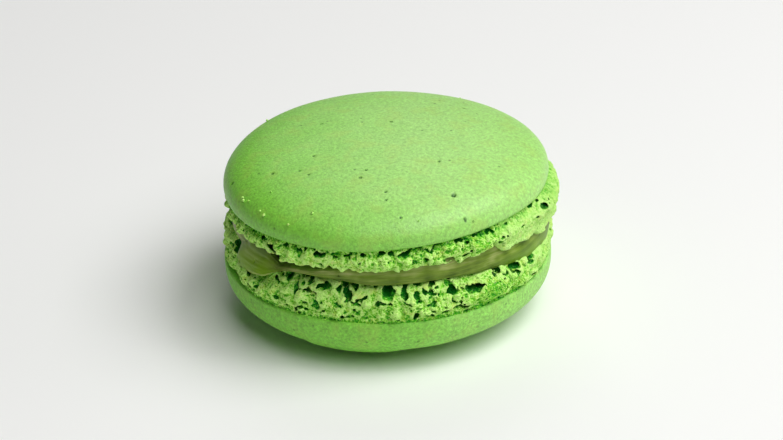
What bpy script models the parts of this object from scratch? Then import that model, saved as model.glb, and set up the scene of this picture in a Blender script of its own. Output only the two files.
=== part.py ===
"""A french macaron: two almond meringue shells with ruffled feet, and a band of buttercream between them.

Metres, +Z up. The origin is the middle of the flat spot on the underside, which the macaron rests on.
Azimuth 0 is the front, -Y, and azimuths grow towards +X. The upper shell sits slightly askew on the filling.
"""

import math

import bmesh
import bpy
from mathutils import Matrix

MM = 0.001

# The domes
LOWER_RADIUS = 22.5 * MM  # at the seam between the lower dome and its foot
UPPER_RADIUS = 22.1 * MM
LOWER_DOME_HEIGHT = 7.6 * MM  # from the seam to the flat spot
UPPER_DOME_HEIGHT = 6.1 * MM
LOWER_ROUNDNESS = 2.3, 3.1  # superellipse powers along the radius and along the height
UPPER_ROUNDNESS = 2.48, 2.43
REST_RADIUS = 7.0 * MM  # of the flat spot

# The feet, the porous rims that rise under the domes while they bake
LOWER_FOOT_HEIGHT = 5.2 * MM
UPPER_FOOT_HEIGHT = 3.3 * MM
FOOT_CREASE = 0.45 * MM  # how far the foot steps in at the seam
FOOT_BULGE = 0.45 * MM
LOWER_FOOT_LEAN = 1.5 * MM  # how far the lip lies inside the seam
UPPER_FOOT_LEAN = 0.8 * MM
RUFFLE_DEPTH = 0.4 * MM
JUT_DEPTH = 1.0 * MM  # the upper foot's broad overhang at the right
JUT_MIDDLE, JUT_SPREAD = 88.0, 34.0  # degrees of azimuth
LIP_WIDTH = 0.3 * MM  # least width of the upper foot's rounded lip
LOBE_DROP = 0.9 * MM  # a tongue of the upper foot that hangs over the filling
LOBE_REACH = 0.9 * MM
LOBE_MIDDLE, LOBE_SPREAD = 47.0, 7.0
CLEFT_DEPTH = 1.3 * MM  # a split in the upper foot
CLEFT_MIDDLE, CLEFT_SPREAD = -43.0, 3.2

# Burst bubbles in the feet: azimuth, distance from the seam, half width and half height, and depth
LOWER_HOLLOWS = (
    (-23.0, 4.5 * MM, 1.4 * MM, 0.6 * MM, 1.6 * MM),
    (-26.0, 2.3 * MM, 0.7 * MM, 0.6 * MM, 0.7 * MM),
    (-1.0, 4.5 * MM, 0.7 * MM, 0.8 * MM, 1.6 * MM),
    (20.0, 1.0 * MM, 1.5 * MM, 0.4 * MM, 1.1 * MM),
    (31.0, 3.6 * MM, 1.5 * MM, 0.5 * MM, 1.3 * MM),
    (112.0, 3.0 * MM, 1.3 * MM, 0.6 * MM, 1.3 * MM),
    (168.0, 4.2 * MM, 0.9 * MM, 0.7 * MM, 1.4 * MM),
    (-138.0, 2.2 * MM, 1.5 * MM, 0.5 * MM, 1.2 * MM),
)
UPPER_HOLLOWS = (
    (67.0, 1.7 * MM, 0.4 * MM, 0.4 * MM, 1.2 * MM),
    (-20.0, 0.8 * MM, 1.1 * MM, 0.3 * MM, 0.9 * MM),
    (140.0, 1.5 * MM, 1.0 * MM, 0.5 * MM, 1.1 * MM),
    (-118.0, 1.1 * MM, 1.2 * MM, 0.4 * MM, 1.0 * MM),
)

# The broad lump on the lower dome's front, which ends in a step at its left
LUMP_DEPTH = 0.45 * MM
LUMP_LEFT, LUMP_RIGHT = -34.0, 8.0
LUMP_LEFT_SLOPE, LUMP_RIGHT_SLOPE = 6.0, 30.0
LUMP_TURN = math.radians(60.0)  # it stands out mostly downwards

# The filling
GAP = 0.3 * MM  # between the filling and each shell
FILLING_THICKNESS = 2.1 * MM  # on the axis
TILT = math.radians(1.6)  # of the upper shell, right side up
FILLING_RADIUS = 20.5 * MM  # without its rounded edge
FILLING_EDGE = 0.5 * MM  # how far the edge rounds out
SQUEEZE = 0.8 * MM  # how much further it reaches at the right
SQUEEZE_MIDDLE, SQUEEZE_SPREAD = 88.0, 40.0
FLAP_DROP = 3.1 * MM  # the smear that folds down over the lower foot at the left
FLAP_FRONT, FLAP_BACK = -40.0, -76.0
FLAP_FRONT_SLOPE, FLAP_BACK_SLOPE = 22.0, 8.0
FLAP_THICKNESS = 1.0 * MM

# How finely the solids are cut
SEGMENTS = 96
DOME_STEPS = 7
FOOT_STEPS = 7
EDGE_STEPS = 7

# Wave counts round the foot, with their phases in degrees and the turn of each wave over the foot's height
LOWER_WAVES = (7, 20.0, 40.0), (13, 75.0, -60.0), (22, 140.0, 90.0)
UPPER_WAVES = (6, 110.0, -30.0), (11, 15.0, 70.0), (19, 200.0, -80.0)

SHELL_GREEN = 0.30, 0.63, 0.19
FILLING_OLIVE = 0.15, 0.21, 0.06


def smooth_step(value):
    """0 below 0, 1 above 1, and smooth between."""
    value = min(max(value, 0.0), 1.0)
    return value * value * (3.0 - 2.0 * value)


def bump(azimuth, middle, spread):
    """A smooth hump over the azimuths, 1 at its middle."""
    away = (azimuth - middle + 180.0) % 360.0 - 180.0
    return math.exp(-((away / spread) ** 2))


def plateau(azimuth, left, right, left_slope, right_slope):
    """1 between two azimuths, falling to 0 over the slopes outside them."""
    rise = smooth_step((azimuth - left) / left_slope + 1.0)
    fall = smooth_step((right - azimuth) / right_slope + 1.0)
    return rise * fall


def place(radius, height, azimuth):
    turn = math.radians(azimuth)
    return radius * math.sin(turn), -radius * math.cos(turn), height


def dome_profile(radius, height, roundness, flat_radius, turn_share):
    """Radius and height over the seam, from the seam at 0 to the flat spot's edge, or the pole, at 1."""
    radial, axial = roundness
    last = math.acos((flat_radius / radius) ** (radial / 2.0))
    turn = last * turn_share
    full_height = height / math.sin(last) ** (2.0 / axial)
    return radius * math.cos(turn) ** (2.0 / radial), full_height * math.sin(turn) ** (2.0 / axial)


def lump(azimuth, turn_share):
    """How far the lower dome's lump stands out: nothing at the seam and at the flat spot's edge."""
    along = plateau(azimuth, LUMP_LEFT, LUMP_RIGHT, LUMP_LEFT_SLOPE, LUMP_RIGHT_SLOPE)
    return LUMP_DEPTH * along * math.sin(math.pi * turn_share ** 1.4) ** 2


def flap(azimuth):
    """1 where the filling folds down over the lower foot, else 0."""
    front = smooth_step((FLAP_FRONT - azimuth) / FLAP_FRONT_SLOPE)
    back = smooth_step((azimuth - FLAP_BACK) / FLAP_BACK_SLOPE + 1.0)
    return front * back


def ruffle(azimuth, share, waves):
    total = 0.0
    for count, phase, turn in waves:
        total += math.sin(math.radians(count * azimuth + phase + turn * share))
    return RUFFLE_DEPTH * total / len(waves)


def foot_radius(azimuth, share, seam_radius, lean, waves):
    """Radius of a foot's outer face, from the seam at share 0 to the lip at share 1."""
    crease = FOOT_CREASE * (1.0 - smooth_step(share * FOOT_STEPS / 2.0))
    body = FOOT_BULGE * math.sin(math.pi * share ** 0.8) - lean * share ** 2.5
    return seam_radius - crease + body + ruffle(azimuth, share, waves) * smooth_step(share * FOOT_STEPS)


def lower_foot_radius(azimuth, share):
    """The lower foot steps in under the filling's flap."""
    radius = foot_radius(azimuth, share, LOWER_RADIUS, LOWER_FOOT_LEAN, LOWER_WAVES)
    recess_radius = FILLING_RADIUS - 2.0 * GAP
    depth = LOWER_FOOT_HEIGHT * (1.0 - share)
    above_flap_end = smooth_step((FLAP_DROP * flap(azimuth) + 4.0 * GAP - depth) / (2.0 * GAP))
    behind_flap = smooth_step(6.0 * flap(azimuth))
    return radius - max(radius - recess_radius, 0.0) * above_flap_end * behind_flap


def upper_foot_radius(azimuth, share):
    """The upper foot juts out at the right and at its lobe, and is split by the cleft."""
    radius = foot_radius(azimuth, share, UPPER_RADIUS, UPPER_FOOT_LEAN, UPPER_WAVES)
    jut = JUT_DEPTH * bump(azimuth, JUT_MIDDLE, JUT_SPREAD) * smooth_step(2.0 * share)
    lobe = LOBE_REACH * bump(azimuth, LOBE_MIDDLE, LOBE_SPREAD) * smooth_step(2.0 * share - 0.5)
    cleft = CLEFT_DEPTH * bump(azimuth, CLEFT_MIDDLE, CLEFT_SPREAD) * smooth_step(2.0 * share - 0.5)
    return radius + jut + lobe - cleft


def filling_radius(azimuth):
    """Where the filling's rounded edge begins."""
    return FILLING_RADIUS + SQUEEZE * bump(azimuth, SQUEEZE_MIDDLE, SQUEEZE_SPREAD)


def lip_inner_radius(azimuth):
    """Inside edge of the upper foot's lip, which clears the filling wherever the lip hangs below its top."""
    return min(filling_radius(azimuth) + FILLING_EDGE + GAP, upper_foot_radius(azimuth, 1.0) - LIP_WIDTH)


def azimuths():
    return [360.0 * step / SEGMENTS - 180.0 for step in range(SEGMENTS)]


def lower_shell_rings():
    """Rings from the flat spot's edge, round the dome and up the foot to the flat face under the filling."""
    rings = []
    for step in range(DOME_STEPS, -1, -1):
        share = step / DOME_STEPS
        radius, depth = dome_profile(LOWER_RADIUS, LOWER_DOME_HEIGHT, LOWER_ROUNDNESS, REST_RADIUS, share)
        ring = []
        for a in azimuths():
            out = lump(a, share)
            height = LOWER_DOME_HEIGHT - depth - out * math.sin(LUMP_TURN)
            ring.append(place(radius + out * math.cos(LUMP_TURN), height, a))
        rings.append(ring)
    for step in range(1, FOOT_STEPS + 1):
        share = step / FOOT_STEPS
        height = LOWER_DOME_HEIGHT + LOWER_FOOT_HEIGHT * share
        rings.append([place(lower_foot_radius(a, share), height, a) for a in azimuths()])
    return rings


def upper_shell_rings():
    """Rings from the flat face, over the lip and up to the dome. Height 0 is the seam of this shell."""
    rings = [[place(lip_inner_radius(a), -UPPER_FOOT_HEIGHT, a) for a in azimuths()]]
    for step in range(FOOT_STEPS, 0, -1):
        share = step / FOOT_STEPS
        ring = []
        for a in azimuths():
            hang = LOBE_DROP * bump(a, LOBE_MIDDLE, LOBE_SPREAD) * smooth_step(3.0 * share - 2.0)
            ring.append(place(upper_foot_radius(a, share), -UPPER_FOOT_HEIGHT * share - hang, a))
        rings.append(ring)
    for step in range(DOME_STEPS):
        share = step / DOME_STEPS
        radius, height = dome_profile(UPPER_RADIUS, UPPER_DOME_HEIGHT, UPPER_ROUNDNESS, 0.0, share)
        rings.append([place(radius, height, a) for a in azimuths()])
    return rings


def filling_rings():
    """Rings round the filling's edge, from its lower face to its upper one, which leans with the upper shell."""
    rings = []
    for step in range(EDGE_STEPS + 1):
        turn = math.pi * (step / EDGE_STEPS - 0.5)
        sag = max(math.sin(-2.0 * turn), 0.0) ** 0.5 if turn > -math.pi / 2.0 else 0.0
        ring = []
        for a in azimuths():
            bulge = FILLING_EDGE + (FLAP_THICKNESS - FILLING_EDGE) * flap(a)
            radius = filling_radius(a) + bulge * math.cos(turn)
            x, y, _ = place(radius, 0.0, a)
            thickness = FILLING_THICKNESS + x * math.tan(TILT)
            height = thickness * (0.5 + 0.5 * math.sin(turn)) - FLAP_DROP * flap(a) * sag
            ring.append((x, y, height))
        rings.append(ring)
    return rings


def loft(name, rings, pole=None):
    """A closed mesh over rings, with a flat face on the first one and a flat face or a pole on the last."""
    shape = bmesh.new()
    loops = [[shape.verts.new(point) for point in ring] for ring in rings]
    for lower, upper in zip(loops, loops[1:]):
        for i in range(SEGMENTS):
            j = (i + 1) % SEGMENTS
            shape.faces.new((lower[i], lower[j], upper[j], upper[i]))
    shape.faces.new(loops[0])
    if pole is None:
        shape.faces.new(loops[-1])
    else:
        tip = shape.verts.new(pole)
        for i in range(SEGMENTS):
            shape.faces.new((loops[-1][i], loops[-1][(i + 1) % SEGMENTS], tip))
    bmesh.ops.recalc_face_normals(shape, faces=shape.faces)
    mesh = bpy.data.meshes.new(name)
    shape.to_mesh(mesh)
    shape.free()
    mesh.shade_smooth()
    mesh.set_sharp_from_angle(angle=math.radians(50.0))
    return mesh


def matte_food(name, colour, roughness):
    material = bpy.data.materials.new(name)
    material.use_nodes = True
    shader = material.node_tree.nodes["Principled BSDF"]
    shader.inputs["Base Color"].default_value = (*colour, 1.0)
    shader.inputs["Roughness"].default_value = roughness
    shader.inputs["Metallic"].default_value = 0.0
    return material


def add_object(mesh, parent, height, lean=0.0):
    piece = bpy.data.objects.new(mesh.name, mesh)
    piece.parent = parent
    piece.location = 0.0, 0.0, height
    piece.rotation_euler = 0.0, -lean, 0.0
    bpy.context.scene.collection.objects.link(piece)
    return piece


def cut_hollows(shell, hollows, foot_radius_at, seam_height, foot_height):
    """Cuts ellipsoids out of a foot's outer face. The heights are in the shell's own frame."""
    shape = bmesh.new()
    for azimuth, from_seam, half_width, half_height, depth in hollows:
        share = from_seam / abs(foot_height)
        middle = place(foot_radius_at(azimuth, share), seam_height + foot_height * share, azimuth)
        turned = Matrix.Rotation(math.radians(azimuth), 4, "Z")
        stretched = Matrix.Diagonal((half_width, depth, half_height, 1.0))
        placed = Matrix.Translation(middle) @ turned @ stretched
        bmesh.ops.create_icosphere(shape, subdivisions=2, radius=1.0, matrix=placed)
    mesh = bpy.data.meshes.new(shell.name + "_hollows")
    shape.to_mesh(mesh)
    shape.free()
    cutter = add_object(mesh, shell.parent, shell.location.z, -shell.rotation_euler.y)
    cutter.hide_render = True
    cutter.display_type = "WIRE"
    cut = shell.modifiers.new("hollows", "BOOLEAN")
    cut.operation = "DIFFERENCE"
    cut.object = cutter


def main():
    for old in list(bpy.data.objects):
        bpy.data.objects.remove(old)
    macaron = bpy.data.objects.new("macaron", None)
    bpy.context.scene.collection.objects.link(macaron)
    meringue = matte_food("baked meringue", SHELL_GREEN, 0.85)
    buttercream = matte_food("buttercream", FILLING_OLIVE, 0.45)

    filling_bottom = LOWER_DOME_HEIGHT + LOWER_FOOT_HEIGHT + GAP
    upper_seam = filling_bottom + FILLING_THICKNESS + GAP + UPPER_FOOT_HEIGHT
    top = 0.0, 0.0, UPPER_DOME_HEIGHT
    lower = add_object(loft("lower_shell", lower_shell_rings()), macaron, 0.0)
    filling = add_object(loft("filling", filling_rings()), macaron, filling_bottom)
    upper = add_object(loft("upper_shell", upper_shell_rings(), top), macaron, upper_seam, TILT)
    for piece, material in ((lower, meringue), (filling, buttercream), (upper, meringue)):
        piece.data.materials.append(material)

    cut_hollows(lower, LOWER_HOLLOWS, lower_foot_radius, LOWER_DOME_HEIGHT, LOWER_FOOT_HEIGHT)
    cut_hollows(upper, UPPER_HOLLOWS, upper_foot_radius, 0.0, -UPPER_FOOT_HEIGHT)


main()
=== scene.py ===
"""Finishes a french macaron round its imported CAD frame: smooth domes, porous feet, buttercream, loose crumbs.

Metres, +Z up, in the frame's own place. Azimuth 0 is the front, -Y, and azimuths grow towards +X.
Each foot is carved from a block of crumb whose grid follows it: round it, away from its seam, and inwards.
The tables of bubbles and edges, and what the feet are carved with, are in millimetres and degrees.
"""

import functools
import math

import bmesh
import bpy
import numpy as np
from mathutils import Matrix, Vector


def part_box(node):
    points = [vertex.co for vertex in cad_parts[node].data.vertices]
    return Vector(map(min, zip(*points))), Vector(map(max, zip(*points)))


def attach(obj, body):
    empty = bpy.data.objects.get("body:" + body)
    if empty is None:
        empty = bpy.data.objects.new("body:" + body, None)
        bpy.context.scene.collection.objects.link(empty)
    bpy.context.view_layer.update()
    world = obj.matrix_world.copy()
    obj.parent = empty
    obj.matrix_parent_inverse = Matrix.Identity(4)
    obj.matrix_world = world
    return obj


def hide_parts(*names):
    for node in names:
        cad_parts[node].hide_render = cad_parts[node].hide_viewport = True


bl_info = {
    "name": "French Macaron Finish",
    "version": (1, 0, 0),
    "blender": (4, 5, 0),
    "location": "View3D > Sidebar > Macaron",
    "description": "Builds the shells, feet, filling and crumbs of a french macaron round its packed frame",
    "category": "Add Mesh",
}

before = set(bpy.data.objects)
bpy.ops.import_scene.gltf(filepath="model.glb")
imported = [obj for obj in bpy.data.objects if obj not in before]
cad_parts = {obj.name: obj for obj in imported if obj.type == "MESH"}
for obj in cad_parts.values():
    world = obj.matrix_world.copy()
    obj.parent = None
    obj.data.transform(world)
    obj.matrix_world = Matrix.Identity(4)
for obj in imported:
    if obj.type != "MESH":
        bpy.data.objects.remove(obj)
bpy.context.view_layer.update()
UPPER_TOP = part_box("upper_shell")[1].z

MM = 0.001
MOST_TRIANGLES = 192000  # in one piece

SKIN = "baked almond meringue skin"
CRUMB = "porous meringue crumb"
CREAM = "spread buttercream"
BOARD = "matte white board"


# Sizes and colours


def linear(code):
    """Linear red, green and blue of an sRGB hex colour."""
    shares = [int(code[i : i + 2], 16) / 255.0 for i in (0, 2, 4)]
    return tuple(s / 12.92 if s <= 0.04045 else ((s + 0.055) / 1.055) ** 2.4 for s in shares)


def length(name, description, millimetres):
    return bpy.props.FloatProperty(
        name=name, description=description, default=millimetres * MM, unit="LENGTH", precision=5
    )


def colour(name, description, code):
    return bpy.props.FloatVectorProperty(
        name=name, description=description, default=linear(code), subtype="COLOR", size=3, min=0.0, max=1.0
    )


class MacaronSizes(bpy.types.PropertyGroup):
    """The macaron's main sizes."""

    lower_radius: length("Lower radius", "Radius of the lower dome at its seam", 22.5)
    upper_radius: length("Upper radius", "Radius of the upper dome at its seam", 22.1)
    lower_dome: length("Lower dome height", "From the seam down to the flat spot", 7.6)
    upper_dome: length("Upper dome height", "From the seam up to the top", 6.1)
    offset: length("Upper shell offset", "Of the upper shell's axis, towards +X", -0.17)
    voxel: length("Crumb grid step", "Spacing of the grid that the feet are carved on", 0.125)
    tilt: bpy.props.FloatProperty(
        name="Tilt",
        description="Lean of the upper shell, right side up",
        default=math.radians(1.35),
        unit="ROTATION",
    )


class MacaronColours(bpy.types.PropertyGroup):
    """The macaron's colours."""

    skin: colour("Skin", "The domes' dyed meringue skin", "a6dd76")
    # Painted shade: the greener skin round the rims, low down and towards -X.
    skin_painted_shade: colour("Skin, deeper", "Round the rims, where the skin is greener", "86d246")
    # Painted shade inside the skin's burst pores and pressed pits.
    pore_painted_shade: colour("Skin specks", "Burst pores and husk in the skin", "2e6412")
    browned: colour("Browned skin", "Faint blotches in the domes", "b4cc58")
    husk: colour("Almond skin flecks", "Flecks of almond skin in the domes", "6e7a28")
    # Pale specks for ground almond, and painted highlights on the crumb's granules.
    almond: colour("Almond specks", "Ground almond, seen in the crumb", "f0ffae")
    toasted: colour("Toasted crumb", "Where the crumb browned a little", "dcdc62")
    # Painted highlight: the crest colour, on crumb that stands proud.
    crest: colour("Crumb crest", "Dry crumb that stands proud", "c8fc84")
    calm: colour("Smooth crumb", "Where the crumb set smooth", "c2ea92")
    crumb: colour("Crumb", "The feet's crumb", "a4ea54")
    # These three greens are painted shade in the crumb's creases, pores and hollows.
    crumb_crease_shade: colour("Moist crumb", "In the creases of the crumb", "6cc428")
    crumb_pore_shade: colour("Wet crumb", "Just inside the pores", "44b628")
    hollow: colour("Crumb hollow", "Deep in the pores", "086a10")
    filling: colour("Buttercream", "The filling", "76902f")
    # Also takes the painted shade at the band's foot, at the smear's top and towards +X.
    filling_deep_and_shade: colour("Buttercream, deeper", "In the streaks of the filling", "48640f")
    # Also takes the painted highlight at the band's top edge and on the smear's folded rim.
    filling_pale_and_highlight: colour("Buttercream, paler", "Where the filling is whipped", "a4ae66")
    filling_shade: colour("Buttercream, inside", "Behind the slit over the filling", "142606")
    smear: colour("Smear", "Where the filling is thin over the lower foot", "84b41c")
    floor: colour("Floor", "The studio's matte board", "f7f7f5")


def sizes():
    return bpy.context.scene.macaron_sizes


def colours():
    return bpy.context.scene.macaron_colours


# Curves in azimuth, in degrees, and over a share from 0 to 1


def smooth_step(value):
    value = np.clip(value, 0.0, 1.0)
    return value * value * (3.0 - 2.0 * value)


def away(azimuth, middle):
    return (azimuth - middle + 180.0) % 360.0 - 180.0


def bump(azimuth, middle, spread):
    """A smooth hump, 1 at its middle."""
    return np.exp(-((away(azimuth, middle) / spread) ** 2))


def plateau(azimuth, left, right, left_slope, right_slope):
    """1 between two azimuths, falling to 0 over the slopes outside them."""
    middle = 0.5 * (left + right)
    half = 0.5 * (right - left)
    offset = away(azimuth, middle)
    rise = smooth_step((offset + half) / left_slope + 1.0)
    fall = smooth_step((half - offset) / right_slope + 1.0)
    return rise * fall


def azimuths(points):
    return np.degrees(np.arctan2(points[:, 0], -points[:, 1]))


def points_round(turn, radius, height):
    """Points at these distances from the axis and heights. The turn is an azimuth in radians."""
    return np.stack([radius * np.sin(turn), -radius * np.cos(turn), height], -1)


def lower_place():
    """From the lower shell's own frame, whose height 0 is its seam, to the macaron's."""
    return Matrix.Translation((0.0, 0.0, sizes().lower_dome))


def upper_place():
    """From the upper shell's own frame, whose height 0 is its seam, to the macaron's."""
    seam = UPPER_TOP - sizes().upper_dome - 0.05 * MM
    return Matrix.Translation((sizes().offset, 0.0, seam)) @ Matrix.Rotation(-sizes().tilt, 4, "Y")


def out_of_round(azimuth):
    """The upper shell's radius over its mean: piped by hand, it is three-sided by a hair."""
    return 1.0 - 0.0129 * np.sin(np.radians(3.0 * azimuth))


# Noise


def lattice_noise(seed, shape, cells):
    """Smooth noise of unit spread over a grid that wraps, from random values blended by cubic B-splines."""
    rng = np.random.default_rng(seed)
    values = rng.standard_normal(cells)
    for axis, (count, cell_count) in enumerate(zip(shape, cells)):
        at = np.arange(count) * cell_count / count
        base = np.floor(at).astype(int)
        f = at - base
        weights = (
            (1.0 - f) ** 3,
            3.0 * f**3 - 6.0 * f**2 + 4.0,
            -3.0 * f**3 + 3.0 * f**2 + 3.0 * f + 1.0,
            f**3,
        )
        across = [1] * len(shape)
        across[axis] = count
        total = 0.0
        for step, weight in enumerate(weights):
            cells_there = np.take(values, (base + step - 1) % cell_count, axis)
            total = total + cells_there * (weight / 6.0).reshape(across)
        values = total
    return (values / values.std()).astype(np.float32)


# The grid that a foot is carved on, in millimetres

WARP_ROOM = 0.35
WARPED_FROM = 0.6  # the length from which a bubble bends in full
BUBBLE_EDGE = 0.05  # how round a bubble's edge is
NEAR_AND_WIDE = 2, 7  # reaches of the air that lights the crumb, in steps
BARELY = 0.02  # of a field, just inside the crumb
CORE_LAYER = -8  # where all is solid


class CrumbGrid:
    """A block of crumb round a foot, in millimetres. A field over it is above 0 inside the crumb."""

    def __init__(self, ring_radius, low, high, outside, inside, step):
        self.count = round(2.0 * math.pi * ring_radius / step)
        self.ring_radius = ring_radius
        self.step = step
        self.azimuth = 360.0 * np.arange(self.count) / self.count - 180.0
        self.height = np.arange(low, high + step, step)
        self.depth = np.arange(-outside, inside + step, step)
        self.shape = self.count, len(self.height), len(self.depth)
        self.shifts = []
        self.uncut = None  # the field before any bubble is taken out
        # The cavity sets the painted shade inside burst bubbles.
        self.cavity = np.zeros(self.shape, np.float32)  # how far inside a burst bubble a point is

    def noise(self, seed, size, axes=3):
        spans = self.count * self.step, np.ptp(self.height), np.ptp(self.depth)
        cells = tuple(max(round(span / size), 3) for span in spans[:axes])
        return lattice_noise(seed, self.shape[:axes], cells)

    def warp(self, seed, share):
        """Bends the bubbles' outlines, so that none is a plain ellipsoid, by a share at each azimuth."""
        share = share[:, None, None]
        for axis in range(3):
            bend = 0.16 * self.noise(seed + axis, 1.0) + 0.09 * self.noise(seed + 3 + axis, 0.4)
            self.shifts.append(share * bend)

    def carve(self, field, azimuth, height, depth, radii, lean=0.0, gloom=1.0):
        """Takes an ellipsoidal bubble out of the field. Its outline follows the grid's warp.

        It shifts sideways by the lean per length inwards. The gloom is how much painted shade its inside gets.
        """
        pad = WARP_ROOM
        column = (azimuth + 180.0) / 360.0 * self.count
        reach = (radii[0] + abs(lean) * radii[2] + pad) / self.step
        columns = np.arange(math.floor(column - reach), math.ceil(column + reach) + 1)
        rows = self.slots(self.height, height, radii[1] + pad)
        layers = self.slots(self.depth, depth, radii[2] + pad)
        if rows.size == 0 or layers.size == 0:
            return
        block = np.ix_(columns % self.count, rows, layers)
        bent = min(1.0, max(radii) / WARPED_FROM)
        around, upwards, inwards = (bent * shift[block] for shift in self.shifts)
        inward = (self.depth[layers] - depth)[None, None, :] + inwards
        across = ((columns - column) * self.step)[:, None, None] + around - lean * inward
        up = (self.height[rows] - height)[None, :, None] + upwards
        shell = np.sqrt((across / radii[0]) ** 2 + (up / radii[1]) ** 2 + (inward / radii[2]) ** 2)
        bubble = (shell - 1.0) * min(radii)
        # Painted shade inside the bubble: less for small bubbles, and less for what lies out of the crumb's
        # face.
        strength = min(1.0, 0.25 + min(radii) / 0.4)
        inner = np.clip((1.5 - shell) / 0.35, 0.0, 1.0) * smooth_step(self.uncut[block] / 0.3)
        self.cavity[block] = np.maximum(self.cavity[block], gloom * strength * inner)
        field[block] = soft_min(field[block], bubble, BUBBLE_EDGE)

    def openness(self, field):
        """How open to the air the crumb is: the share of air near each point, over a small and a wide reach.

        It is about 0.5 on a flat face, more on a crest, and little in a pore or a hollow. The crumb's colour is
        painted from it, as painted shade where it is low and painted highlight where it is high.
        """
        air = (field < 0.0).astype(np.float32)
        air[:, self.height < -0.1] = 0.0
        total = 0.0
        for reach in NEAR_AND_WIDE:
            share = air
            for axis in range(3):
                share = sum(np.roll(share, step, axis) for step in range(-reach, reach + 1)) / (2 * reach + 1)
            total = total + 0.5 * share
        # Painted shade: crumb deeper in, and inside burst bubbles, counts as less open.
        return total - 0.14 * smooth_step((self.depth - 0.1) / 1.3) - 0.21 * self.cavity

    def sample(self, values, azimuth, height, depth):
        """Values of the nearest grid points."""
        column = np.rint((azimuth + 180.0) / 360.0 * self.count).astype(int) % self.count
        row = np.clip(np.rint((height - self.height[0]) / self.step).astype(int), 0, self.shape[1] - 1)
        layer = np.clip(np.rint((depth - self.depth[0]) / self.step).astype(int), 0, values.shape[2] - 1)
        return values[column, row, layer]

    def slots(self, line, middle, reach):
        first = max(math.floor((middle - reach - line[0]) / self.step), 0)
        last = min(math.ceil((middle + reach - line[0]) / self.step), len(line) - 1)
        return np.arange(first, last + 1)


def soft_min(a, b, width):
    blend = np.maximum(width - np.abs(a - b), 0.0) / width
    return np.minimum(a, b) - blend * blend * width * 0.25


def spread_from(start, allowed):
    """The cells of a grid that can be reached from the start cells through allowed ones."""
    reached = start & allowed
    while True:
        wider = reached | np.roll(reached, 1, 0) | np.roll(reached, -1, 0)
        for axis in (1, 2):
            ahead = [slice(None)] * 3
            behind = [slice(None)] * 3
            ahead[axis] = slice(1, None)
            behind[axis] = slice(None, -1)
            grown = wider.copy()
            grown[tuple(ahead)] |= wider[tuple(behind)]
            grown[tuple(behind)] |= wider[tuple(ahead)]
            wider = grown
        wider &= allowed
        if wider.sum() == reached.sum():
            return reached
        reached = wider


def join_up(field):
    """Fills bubbles that never open to the air, and drops crumb that hangs on nothing."""
    edge = np.zeros(field.shape, bool)
    edge[:, :, 0] = True
    edge[:, -1, :] = True
    air = spread_from(edge, field <= 0.0)
    field[(field <= 0.0) & ~air] = BARELY
    core = np.zeros(field.shape, bool)
    core[:, :, CORE_LAYER] = True
    solid = spread_from(core, field > 0.0)
    field[(field > 0.0) & ~solid] = -BARELY


def surface_net(field):
    """Closed quads over the field's zero level, as points in grid steps. The first axis wraps round."""
    around = np.concatenate([field, field[:1]])
    corners = [(i, j, k) for i in (0, 1) for j in (0, 1) for k in (0, 1)]
    ends = slice(0, -1), slice(1, None)
    inside = around > 0.0
    total = sum(inside[ends[i], ends[j], ends[k]].astype(np.int8) for i, j, k in corners)
    active = (total > 0) & (total < len(corners))
    cells = np.argwhere(active)
    index = np.full(active.shape, -1)
    index[active] = np.arange(len(cells))
    values = [around[cells[:, 0] + i, cells[:, 1] + j, cells[:, 2] + k] for i, j, k in corners]
    points = np.zeros((len(cells), 3))
    crossings = np.zeros(len(cells))
    for a, one in enumerate(corners):
        for b, other in enumerate(corners):
            if a >= b or sum(abs(p - q) for p, q in zip(one, other)) != 1:
                continue
            crosses = (values[a] > 0.0) != (values[b] > 0.0)
            share = values[a] / np.where(crosses, values[a] - values[b], 1.0)
            where = np.array(one) + share[:, None] * (np.array(other) - np.array(one))
            points += np.where(crosses[:, None], where, 0.0)
            crossings += crosses
    quads = []
    for axis in range(3):
        near = [slice(None, -1), slice(1, -1), slice(1, -1)]
        near[axis] = slice(None, -1)
        far = list(near)
        far[axis] = slice(1, None)
        one = inside[tuple(near)]
        spots = np.argwhere(one != inside[tuple(far)])
        leaving = one[tuple(spots.T)]
        spots += [0, axis != 1, axis != 2]
        # The four cells round each grid line that leaves or enters the crumb.
        ring = []
        for step in ((1, 1), (0, 1), (0, 0), (1, 0)):
            cell = spots.copy()
            cell[:, [(axis + 1) % 3, (axis + 2) % 3]] -= step
            ring.append(index[tuple(cell.T)])
        ring = np.stack(ring, 1)
        ring[leaving] = ring[leaving][:, ::-1]
        quads.append(ring)
    return cells + points / crossings[:, None], np.concatenate(quads)


# Meshes


def new_mesh(name, points, faces):
    mesh = bpy.data.meshes.new(name)
    mesh.from_pydata(np.asarray(points, float).tolist(), [], faces)
    mesh.update()
    return mesh


def fast_mesh(name, points, quads):
    """A mesh of quads from arrays."""
    mesh = bpy.data.meshes.new(name)
    mesh.vertices.add(len(points))
    mesh.vertices.foreach_set("co", points.astype(np.float32).ravel())
    mesh.loops.add(quads.size)
    mesh.loops.foreach_set("vertex_index", quads.astype(np.int32).ravel())
    mesh.polygons.add(len(quads))
    mesh.polygons.foreach_set("loop_start", np.arange(0, quads.size, 4, dtype=np.int32))
    mesh.update(calc_edges=True)
    return mesh


def read_points(mesh):
    flat = np.empty(len(mesh.vertices) * 3, np.float32)
    mesh.vertices.foreach_get("co", flat)
    return flat.reshape(-1, 3).astype(float)


def write_points(mesh, points):
    mesh.vertices.foreach_set("co", points.astype(np.float32).ravel())
    mesh.update()


def turn_outwards(mesh, close=False):
    """Turns the faces outwards. First it may close an open end with one flat face."""
    shape = bmesh.new()
    shape.from_mesh(mesh)
    if close:
        bmesh.ops.contextual_create(shape, geom=[edge for edge in shape.edges if edge.is_boundary])
    bmesh.ops.recalc_face_normals(shape, faces=shape.faces)
    shape.to_mesh(mesh)
    shape.free()


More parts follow.
